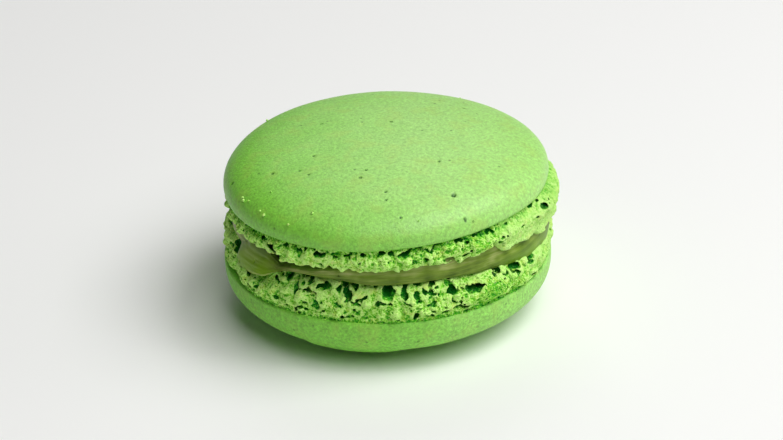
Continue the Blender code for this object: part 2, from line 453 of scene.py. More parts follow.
def write_attribute(mesh, name, values):
    layer = mesh.attributes.new(name, "FLOAT", "POINT")
    layer.data.foreach_set("value", values.astype(np.float32))


def add_object(name, data):
    piece = bpy.data.objects.new(name, data)
    bpy.context.scene.collection.objects.link(piece)
    return piece


def evaluated_mesh(source, name):
    """The source object's mesh with its modifiers applied, as a new mesh. The source is removed."""
    graph = bpy.context.evaluated_depsgraph_get()
    mesh = bpy.data.meshes.new_from_object(source.evaluated_get(graph))
    mesh.name = name
    old = source.data
    bpy.data.objects.remove(source)
    (bpy.data.meshes if isinstance(old, bpy.types.Mesh) else bpy.data.curves).remove(old)
    return mesh


def thin_out(mesh):
    """Collapses the flattest edges until the mesh holds few enough triangles."""
    triangles = len(mesh.loops) - 2 * len(mesh.polygons)
    if triangles <= MOST_TRIANGLES:
        return mesh
    name = mesh.name
    holder = add_object(name + "_dense", mesh)
    collapse = holder.modifiers.new("thin out", "DECIMATE")
    collapse.ratio = MOST_TRIANGLES / triangles
    return evaluated_mesh(holder, name)


def finish_piece(name, mesh, node, material=None):
    """Makes the mesh a piece of the macaron that stands for a CAD node."""
    mesh.shade_smooth()
    if material:
        mesh.materials.clear()
        mesh.materials.append(bpy.data.materials[material])
    piece = add_object(name, mesh)
    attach(piece, "root")
    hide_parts(node)


# Nodes


# Settings of a Mix node that mixes colours, which are its inputs 6 and 7.
COLOURED = {"data_type": "RGBA", "output": 2}
BLACK = (0.0, 0.0, 0.0)


def set_inputs(node, inputs):
    """Gives each input a value, or links it to the socket given for it."""
    for name, value in inputs.items():
        socket = node.inputs[name]
        if isinstance(value, bpy.types.NodeSocket):
            node.id_data.links.new(value, socket)
        else:
            socket.default_value = (*value, 1.0) if socket.type == "RGBA" else value


def add_node(tree, kind, *values, inputs=None, output=0, stops=(), **settings):
    """Adds a node with its settings and links, and gives one of its outputs.

    The values go to its first inputs in order, and each of the inputs to the one it names. A shader node's
    kind is in short. The stops are the places and colours of a colour ramp.
    """
    node = tree.nodes.new(kind if "Node" in kind else "ShaderNode" + kind)
    for name, value in settings.items():
        setattr(node, name, value)
    set_inputs(node, {**dict(enumerate(values)), **(inputs or {})})
    if stops:
        elements = node.color_ramp.elements
        while len(elements) < len(stops):
            elements.new(0.5)
        for element, (position, tone) in zip(elements, stops):
            element.position = position
            element.color = (*tone, 1.0)
    return node.outputs[output] if node.outputs else None


def new_material(name):
    """Makes a material, and gives what adds its nodes, and its shader."""
    material = bpy.data.materials.new(name)
    material.use_nodes = True
    tree = material.node_tree
    return functools.partial(add_node, tree), tree.nodes["Principled BSDF"]


def skin_material():
    """Baked almond meringue: a thin matte skin with a sandy grain, with painted light: paler on top and towards
    +X, and a greener painted shade at the rims and low down.
    """
    add, shader = new_material(SKIN)
    tone = colours()
    place = add("TexCoord", output="Object")
    spot = add("SeparateXYZ", place).node.outputs
    # Painted light: the skin is paler on top and towards +X, where the lamps fall on it, and turns to a greener
    # painted shade lower down and towards -X.
    share = add("MapRange", spot["Z"], 18.0 * MM, 23.5 * MM, -0.2, 0.6)
    share = add("Math", spot["X"], 0.7 / (20.0 * MM), share, operation="MULTIPLY_ADD")
    broad = add("TexNoise", inputs={"Vector": place, "Scale": 1.0 / (5.0 * MM), "Detail": 3.0})
    share = add("Math", broad, 0.5, share, operation="MULTIPLY_ADD", use_clamp=True)
    base = add("Mix", share, inputs={6: tone.skin_painted_shade, 7: tone.skin}, **COLOURED)
    # Ground almond is sieved to about 0.2 mm, which is too fine to show, so it is drawn at 0.4 mm. The lower
    # dome is coarser.
    grain = add("TexNoise", inputs={"Vector": place, "Scale": 1.0 / (0.42 * MM), "Roughness": 0.8})
    centred = add("Math", grain, -0.5, operation="ADD")
    depth = add("MapRange", spot["Z"], 6.0 * MM, 9.0 * MM, 1.5, 1.1)
    shade = add("Math", centred, depth, 1.0, operation="MULTIPLY_ADD")
    grey = add("CombineColor", shade, shade, shade)
    base = add("Mix", 1.0, inputs={6: base, 7: grey}, blend_type="MULTIPLY", **COLOURED)
    # Faint yellow blotches a few millimetres wide, where the oven browned it.
    blotch = add("TexNoise", inputs={"Vector": place, "Scale": 1.0 / (2.6 * MM)})
    blotch = add("ValToRGB", blotch, stops=((0.5, BLACK), (0.68, (0.22,) * 3)))
    base = add("Mix", blotch, inputs={6: base, 7: tone.browned}, **COLOURED)
    # Burst pores stand about 2 mm apart and measure 0.3 mm. Flecks of almond skin are half as wide and as far
    # apart.
    marks = []
    for spacing, reach in ((1.7 * MM, 0.11), (0.85 * MM, 0.1)):
        cells = add("TexVoronoi", inputs={"Vector": place, "Scale": 1.0 / spacing}).node.outputs
        near = add("Math", cells["Distance"], reach, operation="LESS_THAN")
        few = add("Math", cells["Color"], 0.3, operation="LESS_THAN")
        marks.append(add("Math", near, few, operation="MULTIPLY"))
    husk = add("Math", marks[1], 0.3, operation="MULTIPLY")
    base = add("Mix", husk, inputs={6: base, 7: tone.husk}, **COLOURED)
    # Painted shade: the burst pores, and the pits pressed into the dome, are darkened.
    pore = add("Math", marks[0], 0.55, operation="MULTIPLY")
    dark = add("Math", pore, add("Attribute", attribute_name="pit", output="Fac"), operation="MAXIMUM")
    base = add("Mix", dark, inputs={6: base, 7: tone.pore_painted_shade}, **COLOURED)
    # The lower dome dried duller than the upper one.
    matt = add("MapRange", spot["Z"], 8.0 * MM, 17.0 * MM, 0.62, 0.44)
    relief = add("Bump", inputs={"Height": grain, "Distance": 0.08 * MM, "Strength": 1.0})
    set_inputs(shader, {"Base Color": base, "Roughness": matt, "Specular IOR Level": 0.5, "Normal": relief})


def crumb_material():
    """Torn meringue crumb, painted by how open it is: pale on its open crests, a painted highlight, and deep
    green in its creases and closed pores, a painted shade.
    """
    add, shader = new_material(CRUMB)
    tone = colours()
    place = add("TexCoord", output="Object")
    openness, calm = (add("Attribute", attribute_name=name, output="Fac") for name in ("openness", "calm"))
    # The crumb's granules are about 0.15 mm, which is too fine to show, so they are drawn at 0.25 mm. They
    # fade out where the crumb dried smooth.
    granules = {"Vector": place, "Scale": 1.0 / (0.25 * MM), "Detail": 1.0, "Roughness": 0.7}
    grain = add("TexNoise", inputs=granules)
    broad = add("TexNoise", inputs={"Vector": place, "Scale": 1.0 / (2.2 * MM), "Detail": 1.0})
    reach = add("Math", broad, 1.9, -0.05, operation="MULTIPLY_ADD")
    smoother = add("Math", calm, -0.75, 1.0, operation="MULTIPLY_ADD")
    reach = add("Math", reach, smoother, operation="MULTIPLY")
    centred = add("Math", grain, -0.5, operation="ADD")
    level = add("Math", openness, 1.35, -0.16, operation="MULTIPLY_ADD")
    level = add("Math", centred, reach, level, operation="MULTIPLY_ADD")
    # Painted shade: the crumb is a little darker towards +X.
    across = add("SeparateXYZ", place, output="X")
    level = add("Math", across, -0.035 / (20.0 * MM), level, operation="MULTIPLY_ADD")
    level = add("Math", calm, 0.08, level, operation="MULTIPLY_ADD")
    # Painted light: from the painted shade of hollows, pores and creases to the painted highlight of the
    # crests.
    stops = (
        (0.10, tone.hollow),
        (0.24, tone.crumb_pore_shade),
        (0.36, tone.crumb_crease_shade),
        (0.47, tone.crumb),
        (0.59, tone.crest),
    )
    base = add("ValToRGB", level, stops=stops)
    # Pale specks, which stand for ground almond and are also painted highlights on the granules, and patches
    # that the oven toasted, where the crumb is open.
    for size, detail, first, last, most, shade in (
        (0.3 * MM, 1.0, 0.58, 0.68, 0.8, tone.almond),
        (1.1 * MM, 2.0, 0.54, 0.66, 0.5, tone.toasted),
    ):
        spread = {"Vector": place, "Scale": 1.0 / size, "Detail": detail, "Roughness": 0.6}
        patch = add("ValToRGB", add("TexNoise", inputs=spread), stops=((first, BLACK), (last, (most,) * 3)))
        patch = add("Math", patch, openness, operation="MULTIPLY")
        base = add("Mix", patch, inputs={6: base, 7: shade}, **COLOURED)
    # Where the crumb set smooth it is paler, and a little yellow, but for its pores.
    shown = add("MapRange", level, 0.15, 0.45, 0.0, 0.45)
    shown = add("Math", calm, shown, operation="MULTIPLY")
    base = add("Mix", shown, inputs={6: base, 7: tone.calm}, **COLOURED)
    relief = add("Bump", inputs={"Height": grain, "Distance": 0.28 * MM, "Strength": 1.0})
    set_inputs(shader, {"Base Color": base, "Roughness": 0.7, "Specular IOR Level": 0.1, "Normal": relief})


def buttercream_material():
    """Spread buttercream: soft and a little glossy, dragged into faint streaks along the band."""
    add, shader = new_material(CREAM)
    tone = colours()
    place = add("TexCoord", output="Object")
    along = add("Attribute", attribute_name="along", output="Vector")
    names = "smear", "down", "fold"
    thin, down, fold = (add("Attribute", attribute_name=name, output="Fac") for name in names)
    # The shells dragged it into streaks 0.5 mm apart. They are flatter on the smear.
    dragged = {"Vector": along, "Scale": 1.0 / (0.5 * MM), "Detail": 3.0, "Roughness": 0.6}
    streak = add("TexNoise", inputs=dragged)
    broad = add("TexNoise", inputs={"Vector": place, "Scale": 1.0 / (3.0 * MM)})
    mixed = add("Math", broad, 0.55, operation="MULTIPLY")
    mixed = add("Math", streak, 0.45, mixed, operation="MULTIPLY_ADD")
    centred = add("Math", mixed, -0.5, operation="ADD")
    flatter = add("Math", thin, -0.6, 1.0, operation="MULTIPLY_ADD")
    mixed = add("Math", centred, flatter, 0.5, operation="MULTIPLY_ADD")
    # Painted light: the band is palest near its top edge, a painted highlight, and darker at its foot, a
    # painted shade, and the smear gets painted shade at its top.
    mixed = add("Math", mixed, add("MapRange", down, 0.2, 0.95, 0.06, -0.08), operation="ADD")
    mixed = add("Math", add("MapRange", down, 0.0, 0.5, -0.22, 0.0), thin, mixed, operation="MULTIPLY_ADD")
    # Painted shade: it is a little darker towards +X, under the upper foot's overhang.
    across = add("SeparateXYZ", place, output="X")
    mixed = add("Math", across, -0.05 / (20.0 * MM), mixed, operation="MULTIPLY_ADD")
    stops = (0.35, tone.filling_deep_and_shade), (0.5, tone.filling), (0.66, tone.filling_pale_and_highlight)
    base = add("ValToRGB", mixed, stops=stops)
    # The smear turns green where it thins out. Its folded rim gets a painted highlight, and what lies behind
    # the slit over the band gets painted shade.
    greener = add("Math", thin, add("MapRange", down, 0.05, 0.75, 0.0, 0.75), operation="MULTIPLY")
    rim = add("Math", fold, 0.8, operation="MULTIPLY")
    behind = add("MapRange", down, -0.95, -0.5, 1.0, 0.0)
    for share, shade in ((greener, tone.smear), (rim, tone.filling_pale_and_highlight), (behind, tone.filling_shade)):
        base = add("Mix", share, inputs={6: base, 7: shade}, **COLOURED)
    relief = add("Bump", inputs={"Height": streak, "Distance": 0.06 * MM, "Strength": 1.0})
    set_inputs(shader, {"Base Color": base, "Roughness": 0.45, "Specular IOR Level": 0.25, "Normal": relief})


# The domes

DOME_ROWS = 301
SHOWN_ROWS = 0.93  # the share of them outside the feet
PROFILE_STEPS = 160
CORE_RADIUS = 19.2 * MM  # where the domes end, inside the feet
FLAT_RADIUS = 7.0 * MM  # of the flat spot that the macaron stands on


def dome_profile(radius, height, roundness, flat_radius, count):
    """Radius and height over the seam, from the flat spot's edge, or the pole, to the seam."""
    radial, axial = roundness
    last = math.acos((flat_radius / radius) ** (radial / 2.0))
    full_height = height / math.sin(last) ** (2.0 / axial)
    turns = last * (1.0 - np.arange(count + 1) / count) ** 1.3
    across = radius * np.cos(turns) ** (2.0 / radial)
    return list(zip(across, full_height * np.sin(turns) ** (2.0 / axial)))


def edge_profile(radius, roll, core_radius, core_depth, count=8):
    """From the seam, rolls under the dome's edge, runs in to the core and down it."""
    rolled = []
    for step in range(1, count + 1):
        turn = 0.5 * math.pi * step / count
        rolled.append((radius - roll * (1.0 - math.cos(turn)), -roll * math.sin(turn)))
    return rolled + [(core_radius, -roll), (core_radius, -core_depth)]


def new_tree(name, given, made):
    """Makes a Geometry Nodes tree, and gives it, what adds its nodes, and its inputs."""
    tree = bpy.data.node_groups.new(name, "GeometryNodeTree")
    for label, kind in given.items():
        tree.interface.new_socket(label, in_out="INPUT", socket_type="NodeSocket" + kind)
    tree.interface.new_socket(made, in_out="OUTPUT", socket_type="NodeSocketGeometry")
    add = functools.partial(add_node, tree)
    return tree, add, add("NodeGroupInput").node.outputs


def lathe_tree():
    """Turns a profile curve into a closed solid over a square grid that is bent round to a disc."""
    given = {
        "Profile": "Geometry",
        "Rows": "Int",
        "Shown Rows": "Float",
        "Shown Length": "Float",
        "Unevenness": "Float",
        "Seed": "Float",
        "Material": "Material",
    }
    tree, add, given = new_tree("turned dome", given, "Solid")
    size = {"Size X": 2.0, "Size Y": 2.0, "Vertices X": given["Rows"], "Vertices Y": given["Rows"]}
    grid = add("GeometryNodeMeshGrid", inputs=size)
    u, v, _ = add("SeparateXYZ", add("GeometryNodeInputPosition")).node.outputs
    # Each square ring of the grid becomes a circle. The larger of u and v leads, and the other sets the turn.
    size_u, size_v = (add("Math", value, operation="ABSOLUTE") for value in (u, v))
    most = add("Math", size_u, size_v, operation="MAXIMUM")
    wide = add("Math", most, size_u, 1e-6, operation="COMPARE")
    lead, side = (add("GeometryNodeSwitch", wide, *pair, input_type="FLOAT") for pair in ((v, u), (u, v)))
    turn = add("Math", side, lead, operation="DIVIDE")
    turn = add("Math", turn, math.pi / 4.0, operation="MULTIPLY")
    ring = add("Math", lead, operation="ABSOLUTE")
    sign = add("Math", lead, operation="SIGN")
    waves = [add("Math", turn, operation=wave) for wave in ("COSINE", "SINE")]
    along, aside = (add("Math", wave, sign, operation="MULTIPLY") for wave in waves)
    pairs = (aside, along), (along, aside)
    x, y = (add("GeometryNodeSwitch", wide, *pair, input_type="FLOAT") for pair in pairs)
    # Shown Rows is the share of the rings that the visible part of the profile gets.
    rows, length_share = given["Shown Rows"], given["Shown Length"]
    shown = add("Math", ring, rows, operation="MINIMUM")
    shown = add("Math", shown, rows, operation="DIVIDE")
    shown = add("Math", shown, length_share, operation="MULTIPLY")
    beyond, spare = (add("Math", value, rows, operation="SUBTRACT") for value in (ring, 1.0))
    hidden = add("Math", beyond, spare, operation="DIVIDE")
    hidden = add("Math", hidden, 0.0, operation="MAXIMUM")
    unseen = add("Math", 1.0, length_share, operation="SUBTRACT")
    hidden = add("Math", hidden, unseen, operation="MULTIPLY")
    curve = {"Curves": given["Profile"], "Factor": add("Math", shown, hidden, operation="ADD")}
    at = add("GeometryNodeSampleCurve", inputs=curve, output="Position", mode="FACTOR")
    radius, _, up = add("SeparateXYZ", at).node.outputs
    x, y = (add("Math", share, radius, operation="MULTIPLY") for share in (x, y))
    point = add("CombineXYZ", x, y, up)
    # The batter settled unevenly over about a centimetre.
    swell = {"Vector": point, "W": given["Seed"], "Scale": 1.0 / (11.0 * MM), "Detail": 1.0}
    uneven = add("TexNoise", inputs=swell, output="Color", noise_dimensions="4D")
    centred = add("VectorMath", uneven, (0.5, 0.5, 0.5), operation="SUBTRACT")
    offset = add("VectorMath", centred, inputs={"Scale": given["Unevenness"]}, operation="SCALE")
    bent = add("GeometryNodeSetPosition", grid, inputs={"Position": point, "Offset": offset})
    real = add("GeometryNodeRealizeInstances", add("GeometryNodeSetShadeSmooth", bent))
    add("NodeGroupOutput", add("GeometryNodeSetMaterial", real, inputs={"Material": given["Material"]}))
    return tree


def run_tree(source, tree, inputs, name):
    """Runs a Geometry Nodes tree on the source object and gives its result as a plain mesh."""
    modifier = source.modifiers.new(tree.name, "NODES")
    modifier.node_group = tree
    for item in tree.interface.items_tree:
        if item.in_out == "INPUT" and item.name in inputs:
            modifier[item.identifier] = inputs[item.name]
    return evaluated_mesh(source, name)


def profile_curve(name, profile):
    curve = bpy.data.curves.new(name, "CURVE")
    curve.dimensions = "3D"
    line = curve.splines.new("POLY")
    line.points.add(len(profile) - 1)
    for point, (across, up) in zip(line.points, profile):
        point.co = across, 0.0, up, 1.0
    return add_object(name, curve)


def run_length(profile):
    return sum(math.dist(a, b) for a, b in zip(profile, profile[1:]))


def turned_dome(name, dome, rolled, unevenness, seed):
    """A closed dome from its profile. The last two points of the rolled edge lie inside the shell."""
    profile = dome + rolled
    inputs = {
        "Rows": DOME_ROWS,
        "Shown Rows": SHOWN_ROWS,
        "Shown Length": run_length(dome + rolled[:-2]) / run_length(profile),
        "Unevenness": unevenness,
        "Seed": seed,
        "Material": bpy.data.materials[SKIN],
    }
    mesh = run_tree(profile_curve(name + "_profile", profile), lathe_tree(), inputs, name)
    turn_outwards(mesh, close=True)
    return mesh


# The pieces


# Burst bubbles in the upper dome: distance from the axis, azimuth, half length, half width and depth
CAP_PITS = (
    (18.1, 30.0, 0.4, 0.3, 0.35),
    (12.2, -14.0, 0.26, 0.22, 0.25),
    (16.4, -63.0, 0.24, 0.22, 0.25),
    (15.2, 1.0, 0.24, 0.2, 0.2),
    (16.8, 1.0, 0.2, 0.18, 0.15),
    (11.2, 42.0, 0.24, 0.2, 0.2),
    (10.3, -62.0, 0.22, 0.2, 0.2),
    (13.7, -53.0, 0.22, 0.2, 0.2),
    (13.7, -45.5, 0.2, 0.2, 0.15),
    (20.9, -75.0, 0.22, 0.2, 0.2),
    (3.8, 159.0, 0.28, 0.22, 0.2),
    (21.3, 29.0, 0.22, 0.2, 0.2),
    (10.4, -12.0, 0.2, 0.18, 0.15),
    (19.8, 6.0, 0.2, 0.18, 0.15),
    (14.6, 128.0, 0.26, 0.2, 0.25),
    (18.3, -152.0, 0.24, 0.2, 0.25),
    (9.4, -120.0, 0.22, 0.2, 0.2),
)


def press_pits(mesh, pits):
    """Presses burst bubbles into a dome that opens upwards, and writes how deep each point lies."""
    points = read_points(mesh)
    depth = np.zeros(len(points))
    across = np.hypot(points[:, 0], points[:, 1])
    azimuth = azimuths(points)
    up = points[:, 2] > 0.0
    for reach, middle, half_length, half_width, deep in pits:
        along = np.radians(away(azimuth, middle)) * reach / half_length
        out = (across / MM - reach) / half_width
        near = np.clip(1.0 - 0.8 * (along**2 + out**2), 0.0, 1.0) * up
        depth = np.maximum(depth, near)
        points[:, 2] -= deep * MM * near
    write_points(mesh, points)
    # How deep each point lies in a pit, which the skin darkens as painted shade.
    write_attribute(mesh, "pit", smooth_step(1.6 * depth))


def build_upper_cap():
    s = sizes()
    dome = dome_profile(s.upper_radius, s.upper_dome, (2.26, 2.49), 0.0, PROFILE_STEPS)
    rolled = edge_profile(s.upper_radius, 0.4 * MM, CORE_RADIUS, 3.4 * MM)
    mesh = turned_dome("upper_cap", dome, rolled, 0.35 * MM, 3.0)
    points = read_points(mesh)
    points[:, :2] *= out_of_round(azimuths(points))[:, None]
    points[:, 2] = np.minimum(points[:, 2], s.upper_dome)
    write_points(mesh, points)
    press_pits(mesh, CAP_PITS)
    mesh.transform(upper_place())
    finish_piece("upper_cap", mesh, "upper_shell")


def build_lower_cap():
    s = sizes()
    dome = dome_profile(s.lower_radius, s.lower_dome, (2.3, 3.1), FLAT_RADIUS, PROFILE_STEPS)
    rolled = edge_profile(s.lower_radius, 0.35 * MM, CORE_RADIUS, 5.0 * MM)
    mesh = turned_dome("lower_cap", [(0.0, s.lower_dome)] + dome, rolled, 0.3 * MM, 9.0)
    mesh.transform(lower_place() @ Matrix.Rotation(math.pi, 4, "X"))
    points = read_points(mesh)
    across = np.hypot(points[:, 0], points[:, 1]) / MM
    # A lump on the underside at the front, with a sharp end at its left.
    lump = plateau(azimuths(points), -31.0, -4.0, 3.0, 14.0) * plateau(across, 13.5, 18.5, 3.0, 3.5)
    points[:, 2] -= 0.45 * MM * lump * (points[:, 2] < 6.0 * MM)
    points[:, 2] = np.maximum(points[:, 2], 0.0)
    write_points(mesh, points)
    finish_piece("lower_cap", mesh, "lower_shell")


OVERLAP = 0.8  # how far a foot's arc runs on under the next one, in millimetres
SINK = 0.33  # how deep it gets there, over the square of the way
HOLLOW_DEPTH = 0.15  # of a larger bubble's middle, behind the foot's face
# How much painted shade the pockets and the cleft get inside, more than other bubbles.
POCKET_GLOOM = 1.9
SIDE_LEAN = 1.6  # of the hollows at the sides
# The azimuths where that lean starts, and where it ends because the foot turns away
SIDE_START, SIDE_END = 58.0, 80.0

# Bubbles of the feet: their count, then the least and the most of their height over or under the seam, depth,
# half height and stretch
LOWER_BUBBLES = (
    (500, (0.2, 1.1), (-0.05, 0.05), (0.09, 0.16), (1.0, 1.6)),
    (900, (1.0, 5.6), (-0.15, 0.3), (0.11, 0.20), (1.0, 1.8)),
    (300, (1.2, 3.4), (0.0, 0.4), (0.15, 0.34), (1.0, 2.4)),
    (480, (3.3, 5.8), (0.0, 0.7), (0.20, 0.42), (1.0, 1.9)),
    (230, (3.7, 5.8), (0.2, 0.9), (0.36, 0.64), (1.0, 1.9)),
    (60, (0.9, 1.3), (0.0, 0.25), (0.12, 0.26), (1.6, 3.4)),
)
UPPER_BUBBLES = (
    (1200, (0.0, 5.4), (-0.15, 0.2), (0.10, 0.18), (1.0, 1.8)),
    (260, (0.8, 5.0), (0.0, 0.4), (0.16, 0.28), (1.0, 2.0)),
    (150, (0.6, 1.1), (0.1, 0.4), (0.14, 0.28), (1.3, 3.0)),
    (70, (2.2, 3.8), (0.0, 0.4), (0.20, 0.34), (1.0, 2.2)),
)

# The larger burst bubbles, one by one: azimuth, height over or under the seam, half width, half height, reach
LOWER_HOLLOWS = (
    (-47.6, 4.1, 0.5, 0.16, 0.9),
    (-33.0, 5.3, 0.5, 0.3, 1.2),
    (-12.6, 5.2, 0.7, 0.4, 1.5),
    (-4.6, 5.4, 0.5, 0.4, 1.3),
    (10.0, 5.3, 0.7, 0.35, 1.3),
    (15.5, 5.2, 0.5, 0.35, 1.2),
    (-23.8, 4.9, 1.15, 0.62, 1.7),
    (-28.2, 5.2, 0.55, 0.75, 1.1),
    (-18.4, 4.6, 0.5, 0.28, 1.2),
    (-0.4, 4.75, 0.62, 0.8, 1.6),
    (0.3, 3.25, 0.4, 0.35, 0.8),
    (-29.7, 2.4, 0.36, 0.24, 0.6),
    (-25.6, 2.2, 0.66, 0.66, 0.5),
    (-33.8, 1.05, 0.42, 0.34, 0.7),
    (-15.3, 1.1, 0.5, 0.34, 0.9),
    (-11.4, 1.15, 0.34, 0.22, 0.7),
    (-8.5, 1.2, 0.34, 0.24, 0.7),
    (-43.0, 3.9, 0.5, 0.3, 0.7),
    (-58.0, 1.0, 0.5, 0.2, 0.6),
    (-36.9, 4.8, 0.45, 0.6, 0.9),
    (-8.1, 5.4, 0.5, 0.3, 1.3),
    (2.1, 5.5, 0.7, 0.3, 1.4),
    (6.1, 3.4, 0.64, 0.32, 0.9),
    (22.8, 3.6, 0.85, 0.26, 0.9),
    (30.5, 3.5, 1.5, 0.5, 1.6),
    (33.0, 5.1, 1.2, 0.2, 1.0),
    (41.1, 3.3, 0.6, 0.22, 0.8),
    (53.9, 1.0, 0.45, 0.42, 0.8),
    (58.8, 1.3, 0.6, 0.26, 0.7),
    (18.8, 1.2, 0.62, 0.32, 1.1),
    (24.8, 1.35, 1.3, 0.38, 1.1),
    (13.6, 1.0, 0.6, 0.22, 1.0),
    (8.9, 1.05, 0.5, 0.34, 0.9),
    (-63.0, 5.0, 0.9, 0.5, 1.0),
    (112.0, 4.2, 1.2, 0.5, 1.5),
    (141.0, 3.4, 0.7, 0.4, 1.2),
    (168.0, 4.6, 0.9, 0.6, 1.5),
    (-172.0, 0.8, 1.3, 0.3, 0.9),
    (-138.0, 4.4, 1.3, 0.5, 1.5),
    (-104.0, 3.8, 0.6, 0.5, 1.2),
    (84.0, 3.0, 0.8, 0.3, 1.0),
)
UPPER_HOLLOWS = (
    (-23.3, 1.1, 0.9, 0.45, 1.5),
    (-17.1, 1.3, 0.36, 0.2, 0.9),
    (-13.2, 1.15, 0.45, 0.2, 0.9),
    (-7.9, 1.05, 0.45, 0.3, 1.0),
    (-1.6, 0.8, 0.45, 0.36, 1.1),
    (5.6, 0.95, 0.7, 0.42, 1.3),
    (9.8, 0.9, 0.35, 0.2, 0.9),
    (18.0, 0.9, 0.46, 0.24, 0.9),
    (26.4, 0.85, 0.42, 0.26, 0.8),
    (29.5, 1.4, 0.3, 0.2, 0.7),
    (21.5, 2.9, 0.7, 0.34, 0.7),
    (42.8, 2.1, 0.3, 0.28, 0.7),
    (53.0, 2.2, 0.35, 0.2, 0.6),
    (46.5, 1.1, 0.35, 0.14, 0.5),
    (61.0, 2.2, 0.4, 0.18, 0.5),
    (67.0, 1.75, 0.8, 0.36, 0.7),
    (-47.5, 1.4, 0.45, 0.45, 1.1),
    (-59.1, 2.2, 0.32, 0.36, 0.8),
    (110.0, 1.4, 0.8, 0.35, 1.1),
    (140.0, 1.0, 1.0, 0.35, 1.1),
    (-175.0, 1.8, 0.5, 0.45, 1.1),
    (-118.0, 0.9, 1.1, 0.3, 1.0),
    (-92.0, 2.0, 0.4, 0.35, 0.9),
)


def clumps(grid, seed, sizes_and_reaches):
    """Crumb that swells into clumps with sharp creases between them, as a height over the foot's face."""
    total = 0.0
    for step, (size, reach) in enumerate(sizes_and_reaches):
        total = total + reach * (np.abs(grid.noise(seed + step, size, 2)) - 0.8)
    return 0.6 * np.tanh(total / 0.6)


def lower_foot_calm(azimuth):
    """Where the crumb of the lower foot set smooth, and has few pores."""
    return 0.6 * plateau(azimuth, 62.0, 120.0, 14.0, 40.0)


def upper_foot_calm(azimuth):
    return 0.75 * plateau(azimuth, 46.0, 112.0, 7.0, 40.0)


def lower_foot_face(azimuth, height):
    """Radius, in millimetres, of the lower foot's face."""
    bulge = 0.42 * smooth_step((height - 0.5) / 1.4) - 1.6 * smooth_step((height - 2.6) / 3.6) ** 1.2
    flap = 0.6 * plateau(azimuth, -66.0, -46.0, 6.0, 6.0) + 0.5 * plateau(azimuth, -52.0, -42.0, 6.0, 4.0)
    flap = flap * smooth_step((height - 2.6) / 1.2)
    closed = 0.9 * plateau(azimuth, -110.0, -76.0, 20.0, 7.0) * smooth_step((height - 3.0) / 3.0)
    left = 0.5 * plateau(azimuth, -105.0, -75.0, 30.0, 20.0)
    under = 0.4 * smooth_step((height - 4.4) / 1.0) * (1.0 - plateau(azimuth, 50.0, 120.0, 20.0, 40.0))
    wave = 0.13 * np.sin(np.radians(7.0 * azimuth + 20.0 + 8.0 * height))
    ripple = 0.09 * np.sin(np.radians(13.0 * azimuth + 75.0 - 11.0 * height))
    return 22.2 + bulge - flap + closed - left - under + (wave + ripple) * smooth_step(height)


def lower_foot_relief(grid):
    """How far the crumb stands out from the lower foot's face: little on the strip over the seam."""
    rough = clumps(grid, 21, ((1.6, 0.4), (0.75, 0.3), (0.34, 0.1)))
    rough = rough * (0.12 + 0.88 * smooth_step((grid.height - 0.8) / 0.4))
    return rough * (1.0 - 0.5 * lower_foot_calm(grid.azimuth)[:, None])


def lower_foot_lip(grid):
    """How far the lower foot rises over its seam: less at the right, and more left of the smear."""
    right = smooth_step((grid.azimuth - 34.0) / 40.0) * smooth_step((150.0 - grid.azimuth) / 40.0)
    closed = 1.4 * plateau(grid.azimuth, -110.0, -74.0, 20.0, 6.0)
    return 5.75 - 1.9 * right + closed + 0.15 * grid.noise(25, 1.2, 2)[:, 0]


def upper_foot_face(azimuth, height):
    """Radius, in millimetres, of the upper foot's face. Heights are below its seam."""
    share = np.clip(height / 3.8, 0.0, 1.0)
    body = 0.85 * smooth_step((share - 0.08) / 0.5) - 0.5 * smooth_step((share - 0.55) / 0.45)
    jut = 1.2 * bump(azimuth, 84.0, 30.0) * smooth_step(1.6 * share)
    lobe = 0.45 * bump(azimuth, 47.0, 7.0) * smooth_step(2.0 * share - 0.5)
    left = 0.5 * plateau(azimuth, -110.0, -70.0, 30.0, 30.0)
    left = left + 0.35 * plateau(azimuth, -60.0, -43.0, 12.0, 3.0)
    wave = 0.12 * np.sin(np.radians(11.0 * azimuth + 15.0 + 20.0 * height))
    return 21.5 * out_of_round(azimuth) + body + jut + lobe - left + wave * smooth_step(share * 3.0)


def upper_foot_relief(grid):
    rough = clumps(grid, 41, ((1.4, 0.32), (0.65, 0.25), (0.3, 0.1)))
    rough = rough * (1.0 - 0.7 * upper_foot_calm(grid.azimuth)[:, None])
    return rough * (0.3 + 0.7 * smooth_step(grid.height / 0.8))


def upper_foot_lip(grid):
    """How far the upper foot hangs below its seam: further at the right, and split in a few places."""
    azimuth = grid.azimuth
    hang = 0.8 * plateau(azimuth, 46.0, 120.0, 5.0, 40.0) + 1.0 * plateau(azimuth, 78.0, 110.0, 32.0, 40.0)
    hang = hang - 0.4 * plateau(azimuth, -70.0, -2.0, 8.0, 12.0)
    hang = hang + 0.35 * bump(azimuth, 45.0, 3.5) + 0.45 * plateau(azimuth, -47.0, -38.0, 5.0, 6.0)
    splits = 0.7 * bump(azimuth, -20.0, 1.3) + 0.5 * bump(azimuth, 12.0, 1.6) + 1.1 * bump(azimuth, 39.5, 1.8)
    ragged = 0.13 * grid.noise(45, 0.9, 2)[:, 0] + 0.06 * grid.noise(46, 0.4, 2)[:, 0]
    return 3.8 + hang - splits + ragged


